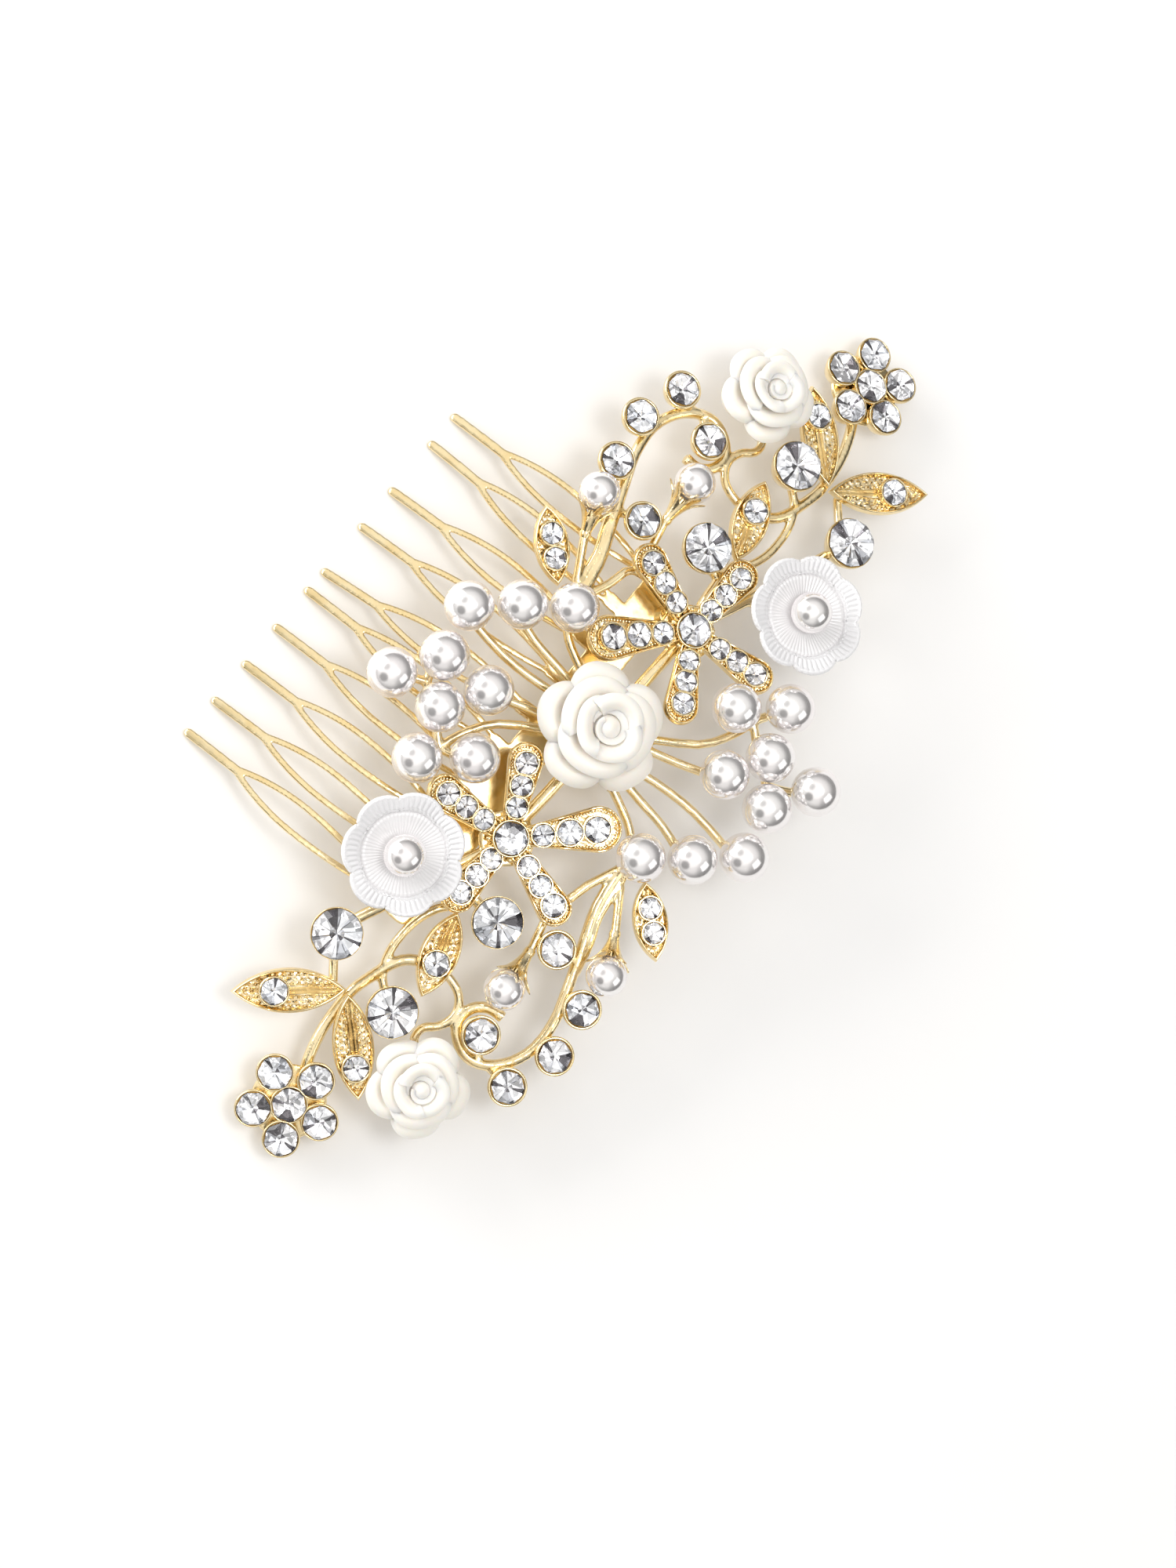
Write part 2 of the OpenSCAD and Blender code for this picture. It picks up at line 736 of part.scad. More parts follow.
module large_stone(side, at) {
    color(crystal) place(side) on_arc(at, large_girdle) stone(large_stone_d);
}

module vine_stone_set(side) {
    color(crystal) place(side)
        for (at = vine_stones) on_arc(at, small_girdle) stone(small_stone_d);
}

module leaf_stones(side) {
    color(crystal) place(side)
        for (leaf = leaves, s = leaf[3])
            at_leaf(leaf) translate([s[0], 0, plate_girdle]) stone(s[1]);
}

module butterfly_stones(side) {
    color(crystal) place(side) {
        for (petal = petals, s = petal[2])
            at_petal(petal) translate([s[0], 0, plate_girdle]) stone(s[1]);
        on_arc(butterfly_at, hub_girdle) stone(small_stone_d);
    }
}

module cluster_stones(side) {
    color(crystal) place(side)
        on_arc(cluster_at, small_girdle)
            for (at = cluster_places()) translate(at) stone(small_stone_d);
}

// ---------- Nodes ----------

comb_base();
solder_joints();
central_seat();
rose_center();
for (side = ["a", "b"]) {
    rose_end(side);
    vine_frame(side);
    pearl_spray(side);
    stone_cups(side);
    bud_cups(side);
    leaf_set(side);
    butterfly_flower(side);
    cluster_flower(side);
    shell_flower_at(side);
    shell_pearl(side);
    bud_pearls(side);
    vine_stone_set(side);
    leaf_stones(side);
    butterfly_stones(side);
    cluster_stones(side);
    for (i = [0:len(large_stones) - 1])
        large_stone(side, large_stones[i]);
    for (i = [0:len(pearls) - 1])
        pearl(side, pearls[i]);
}
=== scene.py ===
"""Looks for a bridal side comb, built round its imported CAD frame.

Every place is read from the frame's own solids. Shapes are worked out in millimetres and
turned into metres when they become pieces.
"""
import math

import bmesh
import bpy
import numpy as np
from mathutils import Matrix, Vector, noise


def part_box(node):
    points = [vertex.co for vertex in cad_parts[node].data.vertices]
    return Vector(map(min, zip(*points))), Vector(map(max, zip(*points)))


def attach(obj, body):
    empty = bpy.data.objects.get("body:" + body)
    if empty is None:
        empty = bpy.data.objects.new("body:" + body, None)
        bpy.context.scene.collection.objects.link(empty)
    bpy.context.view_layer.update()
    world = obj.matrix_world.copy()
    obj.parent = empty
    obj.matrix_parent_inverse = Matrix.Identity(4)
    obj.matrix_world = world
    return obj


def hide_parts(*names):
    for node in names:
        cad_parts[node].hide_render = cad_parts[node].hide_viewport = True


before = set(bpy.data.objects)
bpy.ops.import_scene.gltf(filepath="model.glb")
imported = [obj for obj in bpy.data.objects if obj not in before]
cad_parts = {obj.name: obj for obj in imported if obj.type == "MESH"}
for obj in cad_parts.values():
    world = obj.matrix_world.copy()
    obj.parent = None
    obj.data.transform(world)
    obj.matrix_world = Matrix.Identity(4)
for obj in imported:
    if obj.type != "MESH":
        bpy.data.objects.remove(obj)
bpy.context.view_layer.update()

MM = 0.001
SIDES = ("a", "b")
UP = Vector((0, 0, 1))
TURN = 2 * math.pi

# Proportions of a cut stone as shares of its radius: three heights, and the table's radius
PAVILION = 0.8
GIRDLE = 0.1
CROWN = 0.2
TABLE = 0.74
# The foiled facets fall gently to a heart, whose rim wavers a little, and more steeply inside it
HEART = 0.3
HEART_WAVER = 0.02
FOIL_SLOPE = 0.2
HEART_SLOPE = 0.35
# How far each second corner of a stone's rim is out of step, as a share of a step
RIM_SKEW = 0.4
# How far each stone is turned from the one before, in radians
STONE_TWIST = 0.7
# What a stone's foiled facets throw back in turn, painted into their colour: 1 bright with a painted glow,
# 2 painted shade and 3 painted dark shade
WIDE = (1, 1, 1, 2, 1, 1, 1, 1, 3, 1, 1)
NARROW = (2, 3, 1, 2, 2, 3, 1)
MIDDLE = (3, 3, 1, 1, 1, 2, 2, 1, 1, 3, 1, 1, 1, 2)


# ---------- Reading the frame ----------

def solids_of(node):
    """The separate solids of a CAD node, each as an array of its corners in millimetres."""
    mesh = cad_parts[node].data
    corners = np.array([v.co for v in mesh.vertices]) / MM
    points, same = np.unique(np.round(corners, 3), axis=0, return_inverse=True)
    same = same.ravel()
    leader = list(range(len(points)))

    def lead(i):
        while leader[i] != i:
            leader[i] = leader[leader[i]]
            i = leader[i]
        return i

    for face in mesh.polygons:
        first = lead(same[face.vertices[0]])
        for corner in face.vertices[1:]:
            leader[lead(same[corner])] = first
    groups = {}
    for i in range(len(points)):
        groups.setdefault(lead(i), []).append(i)
    return [points[members] for members in groups.values()]


class Turned:
    """A round solid's foot, upward axis, greatest radius and height."""

    def __init__(self, points):
        middle = points.mean(axis=0)
        spread, ways = np.linalg.eigh(np.cov((points - middle).T))
        odd = 0 if spread[1] - spread[0] > spread[2] - spread[1] else 2
        axis = ways[:, odd] * np.sign(ways[2, odd])
        along = (points - middle) @ axis
        away = np.linalg.norm(points - middle - np.outer(along, axis), axis=1)
        self.axis = Vector(axis)
        self.foot = Vector(middle + axis * along.min())
        self.radius = away.max()
        self.height = np.ptp(along)

    def at(self, height=0.0, twist=0.0):
        return standing(self.foot + self.axis * height, self.axis, twist)


def standing(foot, axis, twist=0.0):
    """The place of a shape whose own Z runs along an axis from a foot."""
    lean = UP.rotation_difference(axis).to_matrix().to_4x4()
    return Matrix.Translation(foot) @ lean @ Matrix.Rotation(twist, 4, "Z")


def ball(points):
    """A sphere's middle and radius."""
    low, high = points.min(axis=0), points.max(axis=0)
    radius = (high[0] - low[0]) / 2
    return Vector(((low[0] + high[0]) / 2, (low[1] + high[1]) / 2, high[2] - radius)), radius


# ---------- Making pieces ----------

class Shape:
    """Points and faces of one piece, in millimetres, each face with its material's number."""

    def __init__(self):
        self.points, self.faces, self.kinds = [], [], []

    def add(self, made, place=None):
        points, faces, *kinds = made
        start = len(self.points)
        place = place or Matrix.Identity(4)
        self.points += [place @ Vector(p) for p in points]
        self.faces += [tuple(int(i) + start for i in face) for face in faces]
        self.kinds += kinds[0] if kinds else [0] * len(faces)

    def piece(self, name, materials, slot, *nodes, sharp=35.0):
        """One object that rides on the body and stands for these CAD nodes; sharp is in degrees."""
        mesh = bpy.data.meshes.new(name)
        mesh.from_pydata([p * MM for p in self.points], [], self.faces)
        for material in materials:
            mesh.materials.append(material)
        mesh.polygons.foreach_set("material_index", self.kinds)
        build = bmesh.new()
        build.from_mesh(mesh)
        bmesh.ops.recalc_face_normals(build, faces=build.faces)
        build.to_mesh(mesh)
        build.free()
        mesh.shade_smooth()
        mesh.set_sharp_from_angle(angle=math.radians(sharp))
        made = bpy.data.objects.new(name, mesh)
        bpy.context.scene.collection.objects.link(made)
        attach(made, "root")
        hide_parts(*nodes)


def lathe(profile, sides, loop=True):
    """A profile of (radius, height) turned round Z. A loop is a ring; else its ends are on the axis."""
    angles = TURN * np.arange(sides) / sides
    body = profile if loop else profile[1:-1]
    points = [(r * math.cos(a), r * math.sin(a), z) for r, z in body for a in angles]
    count = len(body)
    faces = []
    for i in range(count if loop else count - 1):
        low, high = i * sides, (i + 1) % count * sides
        for k in range(sides):
            after = (k + 1) % sides
            faces.append((low + k, low + after, high + after, high + k))
    if not loop:
        points += [(0, 0, profile[0][1]), (0, 0, profile[-1][1])]
        foot, top, last = count * sides, count * sides + 1, (count - 1) * sides
        for k in range(sides):
            after = (k + 1) % sides
            faces.append((after, k, foot))
            faces.append((last + k, last + after, top))
    return points, faces


def arc(middle, radius, start, end, steps):
    """Points of a profile along an arc, with its angles in degrees."""
    return [
        (middle[0] + radius * math.cos(math.radians(a)), middle[1] + radius * math.sin(math.radians(a)))
        for a in np.linspace(start, end, steps)
    ]


def skin(top, under, wraps=False):
    """A closed solid between two grids of points, which may close on themselves along the first way."""
    nu, nv = top.shape[:2]
    points = np.concatenate([top.reshape(-1, 3), under.reshape(-1, 3)])
    half = nu * nv
    faces = []
    for i in range(nu if wraps else nu - 1):
        a, b = i * nv, (i + 1) % nu * nv
        for j in range(nv - 1):
            faces.append((a + j, b + j, b + j + 1, a + j + 1))
            faces.append((half + a + j, half + a + j + 1, half + b + j + 1, half + b + j))
        for j, order in ((0, 1), (nv - 1, -1)):
            faces.append((a + j, half + a + j, half + b + j, b + j)[::order])
    if not wraps:
        for i, order in ((0, -1), (nu - 1, 1)):
            for j in range(nv - 1):
                a = i * nv + j
                faces.append((a, half + a, half + a + 1, a + 1)[::order])
    return points, faces


def sheet(surface, nu, nv, thick, wraps=False):
    """A closed sheet whose upper face is surface(u, v), with u and v from 0 to 1, thinner at v's ends."""
    u, v = np.meshgrid(
        np.linspace(0, 1, nu, endpoint=not wraps), np.linspace(0, 1, nv), indexing="ij"
    )
    top = np.stack(surface(u, v), axis=-1)
    if wraps:
        along = np.roll(top, -1, axis=0) - np.roll(top, 1, axis=0)
    else:
        along = np.gradient(top, axis=0)
    normal = np.cross(along, np.gradient(top, axis=1))
    normal /= np.linalg.norm(normal, axis=2, keepdims=True) + 1e-12
    edge = np.sqrt(np.clip(16 * v * (1 - v), 0.12, 1))
    return skin(top, top - normal * (thick * edge)[..., None], wraps)


def bead(radius, rings=4, sides=8):
    return lathe(arc((0, 0), radius, -90, 90, rings + 1), sides, loop=False)


def ease(x, low, high):
    """From 0 at low to 1 at high, smooth between and level beyond."""
    t = np.clip((x - low) / (high - low), 0, 1)
    return t * t * (3 - 2 * t)


# ---------- Materials ----------

def new_material(name, **sockets):
    material = bpy.data.materials.new(name)
    material.use_nodes = True
    shader = material.node_tree.nodes["Principled BSDF"]
    for socket, value in sockets.items():
        shader.inputs[socket.replace("_", " ")].default_value = value
    return material, material.node_tree, shader


def noise_node(tree, scale, detail=2):
    """Noise in the object's own space, with its scale in lumps per millimetre."""
    place = tree.nodes.new("ShaderNodeTexCoord")
    made = tree.nodes.new("ShaderNodeTexNoise")
    made.inputs["Scale"].default_value = scale / MM
    made.inputs["Detail"].default_value = detail
    tree.links.new(place.outputs["Object"], made.inputs["Vector"])
    return made


def spread(tree, source, low, high):
    """A noise's usual range, 0.3 to 0.7, turned into the range between two values."""
    made = tree.nodes.new("ShaderNodeMapRange")
    made.inputs["From Min"].default_value = 0.3
    made.inputs["From Max"].default_value = 0.7
    made.inputs["To Min"].default_value = low
    made.inputs["To Max"].default_value = high
    tree.links.new(source.outputs["Fac"], made.inputs["Value"])
    return made.outputs["Result"]


def tint(tree, shader, source, first, second):
    """A base colour that a noise carries from one colour to another."""
    ramp = tree.nodes.new("ShaderNodeValToRGB")
    ramp.color_ramp.elements[0].color = (*first, 1)
    ramp.color_ramp.elements[1].color = (*second, 1)
    ramp.color_ramp.elements[0].position = 0.35
    ramp.color_ramp.elements[1].position = 0.65
    tree.links.new(source.outputs["Fac"], ramp.inputs["Fac"])
    tree.links.new(ramp.outputs["Color"], shader.inputs["Base Color"])


def add_bump(tree, shader, source, height):
    """Relief of a height in millimetres."""
    bump = tree.nodes.new("ShaderNodeBump")
    bump.inputs["Strength"].default_value = 1.0
    bump.inputs["Distance"].default_value = height * MM
    tree.links.new(source.outputs["Fac"], bump.inputs["Height"])
    tree.links.new(bump.outputs["Normal"], shader.inputs["Normal"])


def plated(name, pale, deep, rough, grain, height):
    """Polished plating over a cast or stamped skin."""
    material, tree, shader = new_material(name, Metallic=1.0)
    tint(tree, shader, noise_node(tree, 0.35, 3), deep, pale)
    tree.links.new(spread(tree, noise_node(tree, 1.3, 3), *rough), shader.inputs["Roughness"])
    add_bump(tree, shader, noise_node(tree, grain, 3), height)
    return material


def pearl_material():
    material, tree, shader = new_material(
        "pearl_lacquer", Metallic=0.72, Roughness=0.17, Coat_Weight=1.0, Coat_Roughness=0.02,
        Coat_IOR=1.55, Sheen_Weight=0.25, Sheen_Roughness=0.3, Sheen_Tint=(1.0, 0.72, 0.80, 1.0),
    )
    tint(tree, shader, noise_node(tree, 0.25), (0.95, 0.91, 0.905), (0.96, 0.94, 0.925))
    add_bump(tree, shader, noise_node(tree, 3.0), 0.002)
    return material


def stone_glass():
    material, tree, shader = new_material(
        "cut_glass_crown", Transmission_Weight=1.0, IOR=1.56, Roughness=0.0
    )
    tint(tree, shader, noise_node(tree, 0.2, 1), (0.95, 0.97, 1.0), (1.0, 0.98, 0.98))
    return material


def foil(name, colour, rough, painted_glow=0.0):
    """Silvering; a faint painted glow of its own stands in for the light that a real cut gathers."""
    material, tree, shader = new_material(
        name, Metallic=1.0, Roughness=rough, Emission_Strength=painted_glow
    )
    paler = tuple(min(1.0, c * 1.06) for c in colour)
    tint(tree, shader, noise_node(tree, 1.5), colour, paler)
    return material


def resin_material():
    material, tree, shader = new_material(
        "ivory_resin_rose", Roughness=0.42, Subsurface_Weight=0.45, Subsurface_Scale=0.9 * MM,
        Subsurface_Radius=(1.0, 0.75, 0.5), Coat_Weight=0.12, Coat_Roughness=0.3,
    )
    tint(tree, shader, noise_node(tree, 0.15), (0.93, 0.875, 0.80), (0.94, 0.895, 0.83))
    add_bump(tree, shader, noise_node(tree, 4.0, 3), 0.008)
    return material


def acrylic_material(name, pale, clearness, rough):
    material, tree, shader = new_material(
        name, Roughness=rough, IOR=1.49, Transmission_Weight=clearness, Coat_Weight=0.8,
        Coat_Roughness=0.03,
    )
    tint(tree, shader, noise_node(tree, 0.3), pale, tuple(1.03 * c for c in pale))
    add_bump(tree, shader, noise_node(tree, 2.5), 0.01)
    return material


GOLD = plated("gold_cast", (0.95, 0.80, 0.50), (0.90, 0.71, 0.39), (0.08, 0.2), 4.0, 0.018)
# The bed inside a leaf's or petal's rim has its own gold, whose darker deep tone is painted shade for the
# recess
BED_GOLD_PAINTED_SHADE = plated("gold_bed_painted_shade", (0.96, 0.83, 0.56), (0.80, 0.61, 0.33), (0.1, 0.22), 3.0, 0.02)
COMB_GOLD = plated("gold_stamped", (0.95, 0.79, 0.48), (0.90, 0.70, 0.36), (0.14, 0.26), 1.2, 0.006)
PEARL = pearl_material()
GLASS = stone_glass()
# One foil in three copies that paint what the facets reflect: bright with a painted glow, a painted shade
# with a fainter painted glow, and a painted dark shade
FOIL = foil("foil_bright_painted_glow", (0.99, 0.99, 1.0), 0.10, 0.25)
FOIL_PAINTED_SHADE = foil("foil_painted_shade", (0.66, 0.67, 0.70), 0.10, 0.04)
FOIL_PAINTED_DARK = foil("foil_painted_dark", (0.15, 0.14, 0.15), 0.20)
RESIN = resin_material()
ACRYLIC = acrylic_material("milky_acrylic", (0.83, 0.815, 0.82), 0.0, 0.14)
CLEAR_RIM = acrylic_material("clear_acrylic_rim", (0.97, 0.96, 0.97), 0.15, 0.05)


# ---------- Stones and settings ----------

def chaton(radius, folds, number):
    """A cut stone with its foot at the origin, as points, faces and their kinds, where 0 is clear and the
    others are foils of painted light and shade.
    """
    girdle = PAVILION * radius
    edge = girdle + GIRDLE * radius
    ring = 2 * folds
    uneven = np.arange(ring) + RIM_SKEW * (np.arange(ring) % 2)

    def rim(share, z, steps, waver=0.0):
        angles = TURN * steps / len(steps)
        return [(share * radius * math.cos(a), share * radius * math.sin(a), z + waver * (-1) ** k)
                for k, a in enumerate(angles)]

    points = rim(TABLE, edge + CROWN * radius, np.arange(folds) + 0.5)
    points += rim(1, edge, uneven) + rim(1, girdle, uneven)
    heart_z = girdle - FOIL_SLOPE * (1 - HEART) * radius
    points += rim(HEART, heart_z, uneven, HEART_WAVER * radius)
    points.append((0, 0, heart_z - HEART_SLOPE * HEART * radius))
    upper, lower, heart = folds, folds + ring, folds + 2 * ring
    culet = heart + ring
    faces, kinds = [tuple(range(folds))], [0]
    for k in range(folds):
        after = (k + 1) % folds
        corner, next_rim = upper + 2 * k + 1, upper + (2 * k + 2) % ring
        faces += [(k, corner, next_rim), (k, next_rim, after), (k, upper + 2 * k, corner)]
        kinds += [0, 0, 0]
    for k in range(ring):
        after = (k + 1) % ring
        turn = k + 5 * number
        faces.append((upper + k, lower + k, lower + after, upper + after))
        faces.append((lower + k, heart + k, heart + after, lower + after))
        faces.append((culet, heart + after, heart + k))
        # Each girdle wall is painted dark shade; each pavilion wedge and heart facet is bright foil or
        # painted shade, by turn
        kinds += [3, NARROW[turn // 2 % len(NARROW)] if k % 2 else WIDE[turn // 2 % len(WIDE)]]
        kinds.append(MIDDLE[turn % len(MIDDLE)])
    return points, faces, kinds


def stones(node, folds):
    """Every stone of a node, cut and foiled, each turned from the one before."""
    shape = Shape()
    found = [Turned(points) for points in solids_of(node)]
    for number, turned in enumerate(found, sum(map(ord, node))):
        shape.add(chaton(turned.radius, folds, number), turned.at(twist=STONE_TWIST * number))
    shape.piece(f"{node}_cut", [GLASS, FOIL, FOIL_PAINTED_SHADE, FOIL_PAINTED_DARK], "cut_glass", node, sharp=1.0)
    return found


def bezel(stone_radius, wall, depth, lip=0.1):
    """A round cup with a rolled edge, as high as its depth and its lip together."""
    inner, outer = stone_radius + 0.02, stone_radius + wall
    roll = (outer - inner) / 2
    lip_z = depth + lip
    outside = [(0.62 * outer, 0.0), (0.74 * outer, 0.06 * depth), (0.86 * outer, 0.35 * depth),
               (outer, 0.8 * depth)]
    inside = [(inner, 0.9 * depth), (0.6 * inner, 0.45 * depth), (0.3 * inner, 0.2 * depth)]
    rolled = arc((inner + roll, lip_z - roll), roll, 0, 180, 7)
    return lathe([(0, 0.0), *outside, *rolled, *inside, (0, 0.12 * depth)], 40, loop=False)


# ---------- Leaves and petals ----------

# Widths of the rolled rims, how far a plate's underside rises at its edge and the height that its
# upper face keeps under a stone
LEAF_RIM = 0.5
PETAL_RIM = 0.42
UNDER_RISE = 0.4
WELL_FLOOR = 0.12
# Half the width of a leaf's ribs together and the pitch of one, then the pitches of its chased rows
# along it and lanes across it
RIBS_HALF = 0.75
RIB_PITCH = 0.5
ROW_PITCH = 0.85
LANE_PITCH = 0.55
# A petal's beads: their radius, height, distance from the outline and pitch
BEAD_R = 0.17
BEAD_Z = 0.8
BEAD_INSET = 0.6
BEAD_PITCH = 0.38
# The radius of a petal's root, and how far the middle of its round end is past its last stone
ROOT_R = 1.2
END_PAST = 0.3


class Lens:
    """The overlap of two circles, from the origin along +X."""

    def __init__(self, length, width):
        self.length, self.width = length, width
        self.radius = (length ** 2 + width ** 2) / (4 * width)
        self.span = (0.0, length)

    def half(self, x):
        across = np.sqrt(self.radius ** 2 - (x - self.length / 2) ** 2)
        return across - (self.radius - self.width / 2)

    def inset(self, x, y):
        return self.radius - np.hypot(x - self.length / 2, np.abs(y) + self.radius - self.width / 2)


class Drop:
    """A round end at a distance along +X, drawn in to a narrow round end at the origin."""

    def __init__(self, reach, end_r, root_r):
        self.reach, self.end_r, self.root_r = reach, end_r, root_r
        self.lean = math.asin((end_r - root_r) / reach)
        self.span = (-root_r, reach + end_r)

    def half(self, x):
        root_x, end_x = -self.root_r * math.sin(self.lean), self.reach - self.end_r * math.sin(self.lean)
        root = np.sqrt(np.clip(self.root_r ** 2 - x ** 2, 0, None))
        end = np.sqrt(np.clip(self.end_r ** 2 - (x - self.reach) ** 2, 0, None))
        side = self.root_r * math.cos(self.lean) + (x - root_x) * math.tan(self.lean)
        return np.where(x < root_x, root, np.where(x > end_x, end, side))

    def inset(self, x, y):
        on = np.clip((x + np.abs(y) * math.tan(self.lean)) / self.reach, 0, 1)
        return self.root_r + (self.end_r - self.root_r) * on - np.hypot(x - on * self.reach, y)


def grid_noise(x, y, scale, seed):
    """Smooth noise from -1 to 1 over a grid of places."""
    flat = [noise.noise(Vector((a * scale, b * scale, seed))) for a, b in zip(x.ravel(), y.ravel())]
    return np.array(flat).reshape(x.shape)


def plate(outline, relief, rim, nx, ny):
    """A closed plate whose upper face is relief(x, y, inset), of the second kind, a painted shade, inside
    its rim.
    """
    start, end = outline.span
    u = (1 - np.cos(np.linspace(0, math.pi, nx))) / 2
    x = (start + (end - start) * u)[:, None]
    half = np.maximum(outline.half(np.clip(x, start, end)), 0.05)
    y = half * np.sin(np.linspace(-math.pi / 2, math.pi / 2, ny))[None, :]
    x = np.broadcast_to(x, y.shape)
    inset = np.maximum(outline.inset(x, y), 0)
    top = np.stack([x, y, relief(x, y, inset)], axis=-1)
    round_under = UNDER_RISE * (1 - ease(inset, 0, 0.5))
    under = np.stack([x, y, round_under], axis=-1)
    points, faces = skin(top, under)
    # Faces inside the rim take the second material, the painted shade of the recessed bed
    deep = np.append(inset.ravel() > rim, np.zeros(inset.size, bool))
    return points, faces, [int(deep[list(face)].all()) for face in faces]


def rim_relief(inset, width, bed, height=1.15):
    """A rolled rim, whose outer foot is lower than the bed that it goes round."""
    t = np.clip(inset / width, 0, 1)
    ridge = np.sqrt(np.clip(1 - (2 * t - 1) ** 2, 0, 1))
    foot = 0.75 * bed
    return np.where(t < 0.5, foot + (height - foot) * ridge, bed + (height - bed) * ridge)


def sunk(relief, x, y, spots):
    """A relief let down under each stone, given as (x, y, radius), so that it clears the pavilion."""
    for at_x, at_y, radius in spots:
        well = ease(np.hypot(x - at_x, y - at_y) / radius, 0.8, 1.0)
        relief = WELL_FLOOR + (relief - WELL_FLOOR) * well
    return relief


def collar(stone):
    """The ring that holds a stone in a leaf or a petal, on the stone's own axis."""
    depth = PAVILION * stone.radius + 0.2
    inner, wall = stone.radius + 0.01, 0.24
    roll = wall / 2
    return lathe([(inner, 0.35 * depth), (inner + wall, 0.3 * depth),
                  *arc((inner + roll, depth - roll), roll, 0, 180, 6)], 32)


def laid(origin, forward, side, axis):
    """The place of a shape from an origin, along three directions at right angles."""
    ways = Matrix([(*way, 0) for way in (forward, side, axis)] + [(0, 0, 0, 1)])
    return Matrix.Translation(origin) @ ways.transposed()


def spots_of(set_stones, origin, forward, side):
    """Where stones stand in a plate's own plane, each as (x, y, radius)."""
    return [((s.foot - origin).dot(forward), (s.foot - origin).dot(side), s.radius) for s in set_stones]


def leaf(shape, points, set_stones, seed):
    """A leaf round its own stones: a rolled rim, ribs from its base to the first stone, a chased bed."""
    axis = set_stones[0].axis
    middle = points.mean(axis=0)
    ways = np.linalg.svd(points - middle)[2]
    along = (points - middle) @ ways[0]
    ends = [Vector(points[along.argmin()]), Vector(points[along.argmax()])]
    ends.sort(key=lambda p: p.xy.length)
    base, tip = ends
    under = min(Vector(p).dot(axis) for p in points)
    base = base + axis * (under - base.dot(axis))
    tip = tip + axis * (under - tip.dot(axis))
    forward = (tip - base).normalized()
    side = axis.cross(forward)
    outline = Lens((tip - base).length, np.ptp(points @ np.array(side)))
    spots = spots_of(set_stones, base, forward, side)
    rib_end = min(spot[0] for spot in spots) - set_stones[0].radius

    def relief(x, y, inset):
        lift = rim_relief(inset, LEAF_RIM, 0.4)
        within = ease(inset, 0.9 * LEAF_RIM, 1.15 * LEAF_RIM)
        ribbed = ease(x, 0.2, 0.9) * ease(rib_end + 0.1 - x, 0, 0.4)
        ribs = 0.34 * np.cos(y * math.pi / RIB_PITCH) ** 2 * (np.abs(y) < RIBS_HALF) * ribbed
        rows = np.sin((x + 0.7 * np.abs(y)) * TURN / ROW_PITCH + seed)
        lanes = np.sin(np.abs(y) * TURN / LANE_PITCH - 0.9)
        chased = 0.2 * ease(rows, 0.0, 0.7) * ease(lanes, -0.5, 0.2) + 0.09 * grid_noise(x, y, 2.2, seed)
        bed = np.where((np.abs(y) < RIBS_HALF) & (ribbed > 0), 0.0, chased)
        return sunk(lift + within * (ribs + bed), x, y, spots)

    shape.add(plate(outline, relief, LEAF_RIM, 120, 57), laid(base, forward, side, axis))
    for stone in set_stones:
        shape.add(collar(stone), stone.at())


def leaves(side):
    shape = Shape()
    set_stones = stones(f"leaf_stones_{side}", 6)
    for seed, points in enumerate(solids_of(f"leaves_{side}")):
        low, high = points.min(axis=0), points.max(axis=0)
        inside = [s for s in set_stones if all(low[k] < s.foot[k] < high[k] for k in (0, 1))]
        leaf(shape, points, inside, 3.7 * seed)
    shape.piece(f"leaves_{side}_chased", [GOLD, BED_GOLD_PAINTED_SHADE], "gold_plate", f"leaves_{side}")


def along_outline(outline, inset, step):
    """Places spaced evenly inside a drop's outline."""
    start, end = outline.span
    x = start + (end - start) * (1 - np.cos(np.linspace(0, math.pi, 400))) / 2
    path = [(a, float(h)) for a, h in zip(x, outline.half(x))]
    path += [(a, -h) for a, h in reversed(path)]
    path = np.array(path)
    centre = np.array([np.clip(path[:, 0], 0, outline.reach), 0 * path[:, 1]]).T
    inward = centre - path
    inward /= np.linalg.norm(inward, axis=1, keepdims=True) + 1e-9
    path = path + inward * inset
    gone = np.concatenate([[0], np.cumsum(np.linalg.norm(np.diff(path, axis=0), axis=1))])
    count = int(gone[-1] / step)
    wanted = np.arange(count) * gone[-1] / count
    return np.stack([np.interp(wanted, gone, path[:, k]) for k in (0, 1)], axis=-1)


